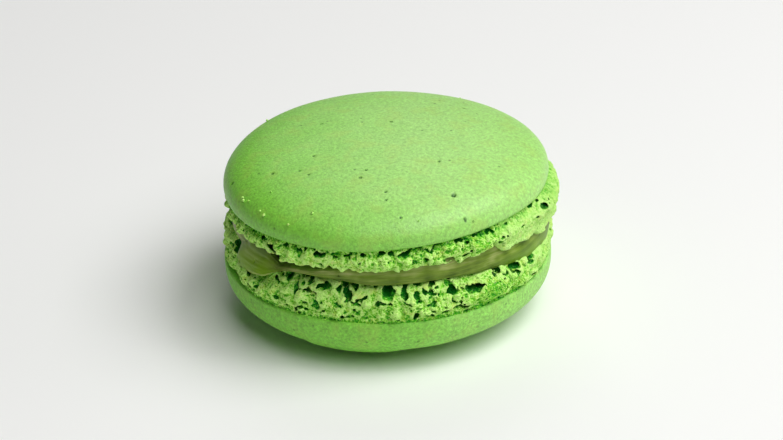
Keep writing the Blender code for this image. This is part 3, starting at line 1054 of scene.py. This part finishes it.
def scatter(grid, seed, families, calm):
    """Random bubbles of each family, in clusters, as azimuth, height, depth and radii."""
    rng = np.random.default_rng(seed)
    thick = grid.noise(seed, 1.3, 2) > 1.8 * calm[:, None] - 0.15
    bubbles = []
    for count, heights, depths, halves, stretches in families:
        for _ in range(count):
            azimuth, height, depth = rng.uniform(-180.0, 180.0), rng.uniform(*heights), rng.uniform(*depths)
            half = rng.uniform(*halves)
            radii = half * rng.uniform(*stretches), half, half * rng.uniform(1.0, 1.4)
            if grid.sample(thick[:, :, None], azimuth, height, 0.0):
                bubbles.append((azimuth, height, depth, radii))
    return bubbles


def backward_lean(azimuth):
    """The lean that makes a hollow run straight back from the front, as far as the sides."""
    if abs(azimuth) < SIDE_START:
        return math.tan(math.radians(azimuth))
    return math.copysign(SIDE_LEAN, azimuth) if abs(azimuth) < SIDE_END else 0.0


def carve_foot(grid, seed, relief, lip, calm, families, hollows, pockets):
    """Carves a foot's block of crumb: gives a field over the grid, and how open to the air each point is."""
    rough = 1.0 - 0.6 * calm(grid.azimuth)[:, None, None]
    field = grid.depth[None, None, :] + relief(grid)[:, :, None]
    field = field + rough * (0.05 * grid.noise(seed, 0.32) + 0.045 * grid.noise(seed + 1, 0.17))
    edge = (lip(grid)[:, None] - grid.height)[:, :, None]
    field = soft_min(field, np.broadcast_to(edge, field.shape), 0.6).astype(np.float32)
    grid.uncut = field.copy()
    grid.warp(seed + 10, 1.0 - 0.9 * calm(grid.azimuth))
    for azimuth, level, *radii in hollows:
        grid.carve(field, azimuth, level, HOLLOW_DEPTH, radii, backward_lean(azimuth))
    for bubble in pockets:
        grid.carve(field, *bubble, gloom=POCKET_GLOOM)
    for bubble in scatter(grid, seed, families, calm(grid.azimuth)):
        grid.carve(field, *bubble)
    # The block ends a step inside the grid, so that its surface closes.
    for line, across in ((grid.height, (None, slice(None), None)), (grid.depth, (None, None, slice(None)))):
        ends = np.minimum(line - line[0], line[-1] - line) - grid.step
        field = np.minimum(field, ends[across])
    join_up(field)
    return field, grid.openness(field)


def foot_arc(name, grid, carved, face, calm, up, past):
    """One arc of a carved foot, as a closed mesh round the shell's axis, with its seam at 0.

    Past its end it sinks under the next arc and stops, so that no gap shows where they meet.
    """
    field, open_share = carved
    past = past[:, None, None]
    cut = np.where(past < OVERLAP, field - SINK * np.maximum(past, 0.0) ** 2, -np.abs(field))
    cells, quads = surface_net(cut)
    azimuth = 360.0 * cells[:, 0] / grid.count - 180.0
    level = grid.height[0] + grid.step * cells[:, 1]
    radius = face(azimuth, level) - grid.depth[0] - grid.step * cells[:, 2]
    points = points_round(np.radians(azimuth), radius, up * level) * MM
    mesh = thin_out(fast_mesh(name, points, quads if up > 0 else quads[:, ::-1]))
    points = read_points(mesh) / MM
    azimuth = azimuths(points)
    level = up * points[:, 2]
    depth = face(azimuth, level) - np.hypot(points[:, 0], points[:, 1])
    # It is in shade next to the seam.
    shade = 0.11 * smooth_step((1.15 - level) / 0.4) if up > 0 else 0.09 * smooth_step((1.9 - level) / 0.9)
    write_attribute(mesh, "openness", grid.sample(open_share, azimuth, level, depth) - shade)
    write_attribute(mesh, "calm", calm(azimuth))
    return mesh


def build_foot(shell, grid, carved, face, calm, up, place):
    """Makes a carved foot's front and back arcs into pieces."""
    behind = np.radians(np.abs(grid.azimuth) - 90.0) * grid.ring_radius
    for side, past in (("front", behind), ("back", -behind)):
        name = shell + "_foot_" + side
        mesh = foot_arc(name, grid, carved, face, calm, up, past)
        mesh.transform(place)
        finish_piece(name, mesh, shell + "_shell", CRUMB)


def build_lower_foot():
    grid = CrumbGrid(22.2, -0.7, 6.2, 0.75, 2.6, sizes().voxel / MM)
    # A pocket beside the top of the smear, and a slit below it, both with painted shade inside.
    pocket = (
        (-69.0, 4.6, 0.2, (1.0, 0.5, 0.8), -1.7),
        (-71.5, 4.2, 0.1, (1.2, 0.42, 0.8), -1.7),
        (-74.0, 3.1, 0.1, (1.2, 0.16, 0.5), -1.7),
        (-40.6, 5.0, 0.1, (0.6, 0.1, 0.8), -0.9),
        (-42.6, 4.65, 0.1, (0.5, 0.1, 0.8), -0.9),
    )
    shape = lower_foot_relief, lower_foot_lip, lower_foot_calm
    carved = carve_foot(grid, 23, *shape, LOWER_BUBBLES, LOWER_HOLLOWS, pocket)
    build_foot("lower", grid, carved, lower_foot_face, lower_foot_calm, 1, lower_place())


def build_upper_foot():
    grid = CrumbGrid(21.9, -0.6, 6.2, 0.75, 2.4, sizes().voxel / MM)
    # A cleft in the lip at the left of the front, which runs in behind the crumb at its left, with painted
    # shade inside.
    cleft = [(-43.6 + 0.5 * step, 1.9 + 0.32 * step, 0.2, (0.9, 0.45, 1.5), -1.0) for step in range(10)]
    shape = upper_foot_relief, upper_foot_lip, upper_foot_calm
    carved = carve_foot(grid, 43, *shape, UPPER_BUBBLES, UPPER_HOLLOWS, cleft)
    build_foot("upper", grid, carved, upper_foot_face, upper_foot_calm, -1, upper_place())


# Lowest line of the filling that shows, in millimetres: azimuth, height and distance from the axis
FILLING_EDGE = (
    (-180.0, 13.2, 21.2),
    (-74.0, 13.2, 20.9),
    (-63.6, 13.0, 20.9),
    (-62.0, 11.3, 22.2),
    (-59.6, 10.8, 22.25),
    (-53.0, 11.0, 22.3),
    (-49.0, 11.6, 22.5),
    (-46.0, 11.9, 22.5),
    (-43.8, 12.6, 22.3),
    (-42.0, 13.0, 22.1),
    (-39.6, 13.4, 21.8),
    (-37.0, 13.5, 21.5),
    (-34.0, 13.55, 21.35),
    (-18.0, 13.55, 21.3),
    (-8.0, 13.15, 21.3),
    (20.0, 13.1, 21.3),
    (38.0, 12.6, 21.4),
    (54.0, 11.7, 21.8),
    (72.0, 11.0, 22.1),
    (100.0, 11.1, 22.1),
    (130.0, 12.2, 21.7),
    (160.0, 13.1, 21.3),
    (180.0, 13.2, 21.2),
)
# Its highest line: azimuth and height. Towards the left of the front it leaves a slit under the upper shell.
FILLING_TOP = (
    (-180.0, 15.75),
    (-90.0, 15.3),
    (-62.0, 15.3),
    (-50.0, 15.0),
    (-45.0, 14.4),
    (-42.0, 13.8),
    (-39.8, 13.8),
    (-36.6, 14.0),
    (-32.3, 14.2),
    (-28.0, 14.4),
    (-23.0, 14.9),
    (-15.0, 15.5),
    (0.0, 15.75),
    (90.0, 16.25),
    (180.0, 15.75),
)
# Burst bubbles in it: azimuth, height and radius
FILLING_PITS = ((-62.6, 11.5, 0.24), (-53.5, 12.9, 0.2), (-17.5, 14.3, 0.16))


def eased(values, count):
    """A ring of values with its corners rounded off."""
    kernel = np.hanning(count)
    wrapped = np.concatenate([values[-count:], values, values[:count]])
    return np.convolve(wrapped, kernel / kernel.sum(), "same")[count:-count]


def build_filling():
    count, rows, hidden_rings = 1200, 61, 3
    column = (360.0 * np.arange(count) / count - 180.0)[:, None]
    share = np.linspace(0.0, 1.0, rows)[None, :]
    turns, heights, reaches = zip(*FILLING_EDGE)
    low = eased(np.interp(column[:, 0], turns, heights), 9)[:, None]
    edge = eased(np.interp(column[:, 0], turns, reaches), 9)[:, None]
    high = eased(np.interp(column[:, 0], *zip(*FILLING_TOP)), 15)[:, None]
    # The smear leans: its left side runs outwards as it goes down.
    lean = 3.2 * plateau(column, -66.0, -58.0, 8.0, 16.0)
    azimuth = column + lean * (1.7 - 2.7 * smooth_step(1.15 * share))
    smear = plateau(column, -62.4, -46.0, 1.2, 7.0)
    z = high + (low - high) * share
    brow = 21.0 + 0.3 * np.maximum(smear, plateau(column, -42.0, -18.0, 3.0, 12.0))
    out = brow + (edge - brow) * smooth_step(1.3 * share)
    round_edge = np.sin(math.pi * np.clip(share, 0.001, 0.999))
    rim = 0.2 * plateau(column, -50.0, -40.0, 4.0, 3.0) * np.exp(-(((share - 0.9) / 0.09) ** 2))
    bulge = 0.3 * round_edge**0.45 * (1.0 - 0.5 * smear) + rim
    dip = 0.22 * smear * np.exp(-(((share - 0.5) / 0.25) ** 2))
    streaks = 0.02 * lattice_noise(61, (count, rows), (48, 16))
    streaks = streaks + 0.05 * lattice_noise(62, (count, rows), (72, 4))
    radius = out + bulge - dip + streaks
    for middle, height, size in FILLING_PITS:
        gap = np.hypot(np.radians(azimuth - middle) * radius, z - height) / size
        radius = radius - 1.2 * size * np.exp(-(gap**4))
    turn = np.radians(azimuth)
    flat = np.zeros_like(column)

    def ring(across, up, at):
        return points_round(turn[:, [at]], across + flat, up + flat)

    inner = 20.6 - 1.3 * plateau(column, -40.0, -26.0, 3.0, 5.0)
    rings = [
        ring(18.5, 15.6, 0),
        ring(inner - 0.1, np.maximum(16.0, high + 0.5), 0),
        ring(inner, high + 0.05, 0),
        points_round(turn, radius, z),
        ring(edge - 0.9, low + 0.35, -1),
        ring(20.3, np.maximum(low, 12.6) + 0.35, -1),
        ring(18.5, 12.4, -1),
    ]
    rings = np.concatenate(rings, 1)
    total = rings.shape[1]
    i, j = np.meshgrid(np.arange(count), np.arange(total - 1), indexing="ij")
    n = (i + 1) % count
    quads = np.stack([i * total + j, i * total + j + 1, n * total + j + 1, n * total + j], 2).reshape(-1, 4)
    faces = quads.tolist()
    faces.append([k * total for k in range(count)])
    faces.append([k * total + total - 1 for k in reversed(range(count))])
    mesh = new_mesh("filling_band", rings.reshape(-1, 3) * MM, faces)
    turn_outwards(mesh)

    def write_bands(name, above, values, below):
        """Writes an attribute: values on the wall that shows, and on the hidden rings over and under it."""
        ends = np.zeros((count, hidden_rings))
        values = np.concatenate([above + ends, values + np.zeros_like(z), below + ends], 1)
        write_attribute(mesh, name, values.ravel())

    thin = smear + 0.6 * plateau(column, 52.0, 110.0, 14.0, 30.0) * smooth_step(1.6 * share - 0.5)
    # Painted highlight: the pale rim of the smear, where it folds over its lower edge.
    fold = plateau(column, -53.0, -40.0, 3.0, 2.0) * np.exp(-(((share - 0.93) / 0.05) ** 2))
    write_bands("smear", thin[:, :1], thin, thin[:, -1:])
    write_bands("down", -1.0, share, 1.0)
    write_bands("fold", 0.0, fold, 0.0)
    # Streaks run along the band: their own place is ten times shorter that way.
    along = np.broadcast_to(np.radians(column) * 2.2, rings.shape[:2])
    unrolled = np.stack([along, rings[:, :, 2], np.hypot(rings[:, :, 0], rings[:, :, 1])], 2)
    layer = mesh.attributes.new("along", "FLOAT_VECTOR", "POINT")
    layer.data.foreach_set("vector", (unrolled * MM).astype(np.float32).ravel())
    finish_piece("filling_band", mesh, "filling", CREAM)


# Loose crumbs: distance from the axis, azimuth and size, on the upper dome
LOOSE_CRUMBS = (
    (21.5, -60.0, 0.2),
    (21.3, -61.5, 0.16),
    (21.9, -35.0, 0.14),
    (21.8, -46.5, 0.2),
    (21.6, -49.0, 0.13),
    (20.0, -28.0, 0.16),
    (21.2, -57.5, 0.12),
    (18.9, -52.0, 0.1),
    (20.6, 12.0, 0.1),
    (21.0, 148.0, 0.15),
    (20.4, -128.0, 0.14),
)


def crumb_tree():
    """Puts a torn crumb on every point, each turned its own way and sized by the point's attribute."""
    given = {"Points": "Geometry", "Roughness": "Float", "Seed": "Int", "Material": "Material"}
    tree, add, given = new_tree("scattered crumbs", given, "Crumbs")
    ball = add("GeometryNodeMeshIcoSphere", inputs={"Radius": 1.0, "Subdivisions": 3})
    rough = add("TexNoise", inputs={"Scale": 1.6}, output="Color")
    centred = add("VectorMath", rough, (0.5, 0.5, 0.5), operation="SUBTRACT")
    torn = add("VectorMath", centred, inputs={"Scale": given["Roughness"]}, operation="SCALE")
    lump = add("GeometryNodeSetPosition", ball, inputs={"Offset": torn})
    size = add("GeometryNodeInputNamedAttribute", inputs={"Name": "size"}, data_type="FLOAT")
    turns = {"Min": (0.0, 0.0, 0.0), "Max": (6.28, 6.28, 6.28), "Seed": given["Seed"]}
    turn = add("FunctionNodeRandomValue", inputs=turns, data_type="FLOAT_VECTOR")
    spread = {"Points": given["Points"], "Instance": lump, "Rotation": turn, "Scale": size}
    real = add("GeometryNodeRealizeInstances", add("GeometryNodeInstanceOnPoints", inputs=spread))
    add("NodeGroupOutput", add("GeometryNodeSetMaterial", real, inputs={"Material": given["Material"]}))
    return tree


def build_crumbs():
    """Loose crumbs that lie on the upper dome, each seated on the dome's surface."""
    cap = read_points(bpy.data.objects["upper_cap"].data)
    spots = []
    for reach, azimuth, size in LOOSE_CRUMBS:
        aim = points_round(math.radians(azimuth), reach * MM, 0.0)[:2] + (sizes().offset, 0.0)
        near = np.hypot(*(cap[:, :2] - aim).T) < 0.3 * MM
        spots.append((*aim, cap[near][:, 2].max() + 0.3 * size * MM))
    mesh = new_mesh("crumb_spots", spots, [])
    write_attribute(mesh, "size", np.array([size for _, _, size in LOOSE_CRUMBS]) * MM)
    inputs = {"Roughness": 0.9, "Seed": 5, "Material": bpy.data.materials[CRUMB]}
    mesh = run_tree(add_object("crumb_spots", mesh), crumb_tree(), inputs, "loose_crumbs")
    write_attribute(mesh, "openness", np.full(len(mesh.vertices), 0.62))
    finish_piece("loose_crumbs", mesh, "upper_shell")


# The stage

FLOOR_HALF = 3.0
CAMERA_ELEVATION = 26.8  # degrees
CAMERA_DISTANCE = 0.35
LIGHT_DISTANCE = 0.7
# Name, azimuth, elevation, size and power
LIGHTS = (
    ("key", 42.0, 57.0, 0.6, 3.5),
    ("side", 92.0, 28.0, 0.4, 0.4),
    ("back", 180.0, 40.0, 0.4, 0.7),
    ("sheen", 88.0, 56.0, 0.4, 2.0),
)


def direction(azimuth, elevation):
    """Unit vector towards an azimuth and an elevation, in degrees."""
    turn, rise = math.radians(azimuth), math.radians(elevation)
    return Vector((math.sin(turn) * math.cos(rise), -math.cos(turn) * math.cos(rise), math.sin(rise)))


def area_light(name, place, target, size, power):
    light = bpy.data.lights.new(name, "AREA")
    light.size = size
    light.energy = power
    lamp = add_object(name, light)
    lamp.location = place
    lamp.rotation_euler = (target - place).to_track_quat("-Z", "Y").to_euler()


def build_stage():
    scene = bpy.context.scene
    scene.view_settings.view_transform = "Standard"
    # The board is plain and nearly white, so that nothing but the macaron's own colours shows.
    corners = [(-FLOOR_HALF, -FLOOR_HALF, 0), (FLOOR_HALF, -FLOOR_HALF, 0)]
    corners += [(FLOOR_HALF, FLOOR_HALF, 0), (-FLOOR_HALF, FLOOR_HALF, 0)]
    board = new_mesh("floor", corners, [(0, 1, 2, 3)])
    _, shader = new_material(BOARD)
    set_inputs(shader, {"Base Color": colours().floor, "Roughness": 0.9})
    board.materials.append(bpy.data.materials[BOARD])
    add_object("floor", board)

    middle = Vector((0.0, 0.0, 13.2 * MM))
    camera = bpy.data.cameras.new("camera")
    camera.sensor_width = 36.0
    camera.lens = 117.6
    camera.shift_x = 0.0066
    camera.shift_y = -0.0123
    camera.clip_start = 0.01
    scene.camera = add_object("camera", camera)
    scene.camera.matrix_world = (
        Matrix.Translation(middle + CAMERA_DISTANCE * direction(0.0, CAMERA_ELEVATION))
        @ Matrix.Rotation(math.radians(90.0 - CAMERA_ELEVATION), 4, "X")
        @ Matrix.Rotation(math.radians(-1.92), 4, "Z")
    )

    scene.world = bpy.data.worlds.new("studio")
    scene.world.use_nodes = True
    tree = scene.world.node_tree
    # The backdrop looks white, and gives only a little light.
    seen = add_node(tree, "LightPath", output="Is Camera Ray")
    strength = add_node(tree, "MapRange", seen, inputs={"To Min": 0.06, "To Max": 0.92})
    set_inputs(tree.nodes["Background"], {"Color": (1.0, 1.0, 1.0), "Strength": strength})
    for name, azimuth, elevation, size, power in LIGHTS:
        area_light(name, middle + LIGHT_DISTANCE * direction(azimuth, elevation), middle, size, power)


# Operators


class MACARON_OT_stage(bpy.types.Operator):
    """Adds the floor, the lights and the camera"""

    bl_idname = "macaron.stage"
    bl_label = "Stage"

    def execute(self, context):
        build_stage()
        return {"FINISHED"}


class MACARON_OT_materials(bpy.types.Operator):
    """Makes the macaron's finishes"""

    bl_idname = "macaron.materials"
    bl_label = "Finishes"

    def execute(self, context):
        skin_material()
        crumb_material()
        buttercream_material()
        return {"FINISHED"}


class MACARON_OT_caps(bpy.types.Operator):
    """Turns both smooth domes"""

    bl_idname = "macaron.caps"
    bl_label = "Domes"

    def execute(self, context):
        build_upper_cap()
        build_lower_cap()
        return {"FINISHED"}


class MACARON_OT_feet(bpy.types.Operator):
    """Carves both porous feet"""

    bl_idname = "macaron.feet"
    bl_label = "Feet"

    def execute(self, context):
        build_lower_foot()
        build_upper_foot()
        return {"FINISHED"}


class MACARON_OT_filling(bpy.types.Operator):
    """Spreads the buttercream"""

    bl_idname = "macaron.filling"
    bl_label = "Filling"

    def execute(self, context):
        build_filling()
        return {"FINISHED"}


class MACARON_OT_crumbs(bpy.types.Operator):
    """Drops loose crumbs on the upper dome"""

    bl_idname = "macaron.crumbs"
    bl_label = "Loose crumbs"

    def execute(self, context):
        build_crumbs()
        return {"FINISHED"}


class MACARON_PT_panel(bpy.types.Panel):
    """Lists the macaron's operators"""

    bl_idname = "MACARON_PT_panel"
    bl_label = "French Macaron"
    bl_space_type = "VIEW_3D"
    bl_region_type = "UI"
    bl_category = "Macaron"

    def draw(self, context):
        for operator in OPERATORS:
            self.layout.operator(operator.bl_idname)


OPERATORS = (
    MACARON_OT_stage,
    MACARON_OT_materials,
    MACARON_OT_caps,
    MACARON_OT_feet,
    MACARON_OT_filling,
    MACARON_OT_crumbs,
)
CLASSES = MacaronSizes, MacaronColours, *OPERATORS, MACARON_PT_panel


def register():
    for cls in CLASSES:
        bpy.utils.register_class(cls)
    bpy.types.Scene.macaron_sizes = bpy.props.PointerProperty(type=MacaronSizes)
    bpy.types.Scene.macaron_colours = bpy.props.PointerProperty(type=MacaronColours)


def unregister():
    del bpy.types.Scene.macaron_colours
    del bpy.types.Scene.macaron_sizes
    for cls in reversed(CLASSES):
        bpy.utils.unregister_class(cls)


def main():
    register()
    bpy.ops.macaron.stage()
    bpy.ops.macaron.materials()
    bpy.ops.macaron.caps()
    bpy.ops.macaron.feet()
    bpy.ops.macaron.filling()
    bpy.ops.macaron.crumbs()


if __name__ == "__main__":
    main()
